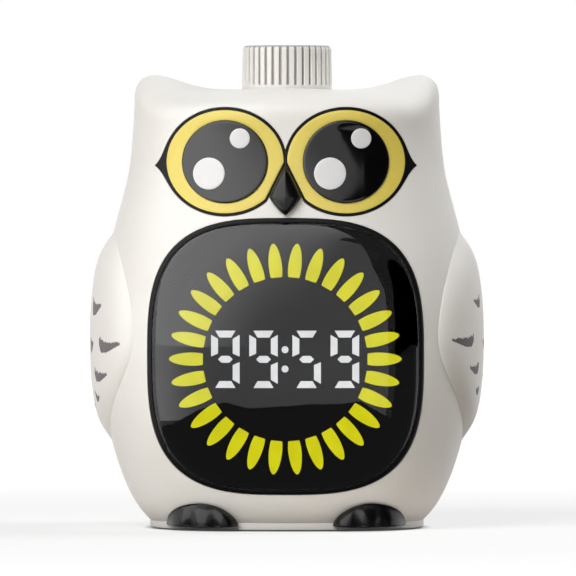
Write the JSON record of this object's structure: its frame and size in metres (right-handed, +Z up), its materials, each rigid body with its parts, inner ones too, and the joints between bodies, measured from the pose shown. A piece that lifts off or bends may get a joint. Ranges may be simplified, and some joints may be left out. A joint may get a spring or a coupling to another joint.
{
  "type": "visual timer",
  "caption": "Owl-shaped table countdown timer with a ring of lit petals round a digit display, a knurled setting knob on the head and moulded wings and feet.",
  "frame": {"origin": "middle of the resting face of the non-slip pad", "axes": "+Z up along the knob's axis, -Y the way the face looks, +X to the viewer's right"},
  "size_m": [0.0878, 0.0713, 0.107],
  "materials": {
    "ivory_plastic": "satin",
    "black_plastic": "gloss",
    "pupil_black": "gloss",
    "iris_yellow": "satin",
    "highlight_white": "gloss",
    "smoked_lens": "gloss",
    "film_black": "matt",
    "petal_yellow": "lit",
    "digit_white": "lit",
    "reflector_white": "matt",
    "board_green": "solder mask",
    "led_pale": "clear",
    "pouch_foil": "satin",
    "foam_grey": "matt",
    "screw_steel": "plated",
    "cable_grey": "satin"
  },
  "bodies": {
    "case": {"front_shell": "ivory_plastic", "rear_shell": "ivory_plastic", "base_plate": "ivory_plastic", "left_wing": "ivory_plastic", "right_wing": "ivory_plastic", "left_foot": "black_plastic", "right_foot": "black_plastic", "beak": "black_plastic", "left_eye_liner": "black_plastic", "right_eye_liner": "black_plastic", "lens_bezel": "black_plastic", "switch_body": "black_plastic", "speaker": "black_plastic", "controller_chip": "black_plastic", "usb_tongue": "black_plastic", "left_pupil": "pupil_black", "right_pupil": "pupil_black", "left_iris": "iris_yellow", "right_iris": "iris_yellow", "eye_highlights": "highlight_white", "display_lens": "smoked_lens", "display_film": "film_black", "petal_windows": "petal_yellow", "digit_segments": "digit_white", "light_reflector": "reflector_white", "display_board": "board_green", "charge_board": "board_green", "display_leds": "led_pale", "battery_cell": "pouch_foil", "battery_tape": "foam_grey", "non_slip_pad": "foam_grey", "usb_socket": "screw_steel", "encoder_housing": "screw_steel", "encoder_washer": "screw_steel", "encoder_nut": "screw_steel", "click_dome": "screw_steel", "seam_screws": "screw_steel", "base_screws": "screw_steel", "display_screws": "screw_steel", "charge_board_screws": "screw_steel", "encoder_ribbon": "cable_grey", "charge_ribbon": "cable_grey", "battery_lead": "cable_grey", "speaker_lead": "cable_grey"},
    "encoder_rotor": {"encoder_rotor": "reflector_white"},
    "knob": {"knob": "ivory_plastic", "encoder_shaft": "screw_steel"},
    "volume_slider": {"volume_slider": "black_plastic"}
  },
  "joints": [
    {"name": "knob_spin", "type": "hinge", "parent": "case", "child": "encoder_rotor", "pos_m": [0, 0, 0.1], "axis": [0, 0, 1], "continuous": true},
    {"name": "knob_press", "type": "slide", "parent": "encoder_rotor", "child": "knob", "axis": [0, 0, -1], "range_m": [0, 0.0005], "stiffness_N_per_m": 2000, "springref_m": -0.0005},
    {"name": "volume_slide", "type": "slide", "parent": "case", "child": "volume_slider", "axis": [1, 0, 0], "range_m": [-0.002, 0.002]}
  ]
}
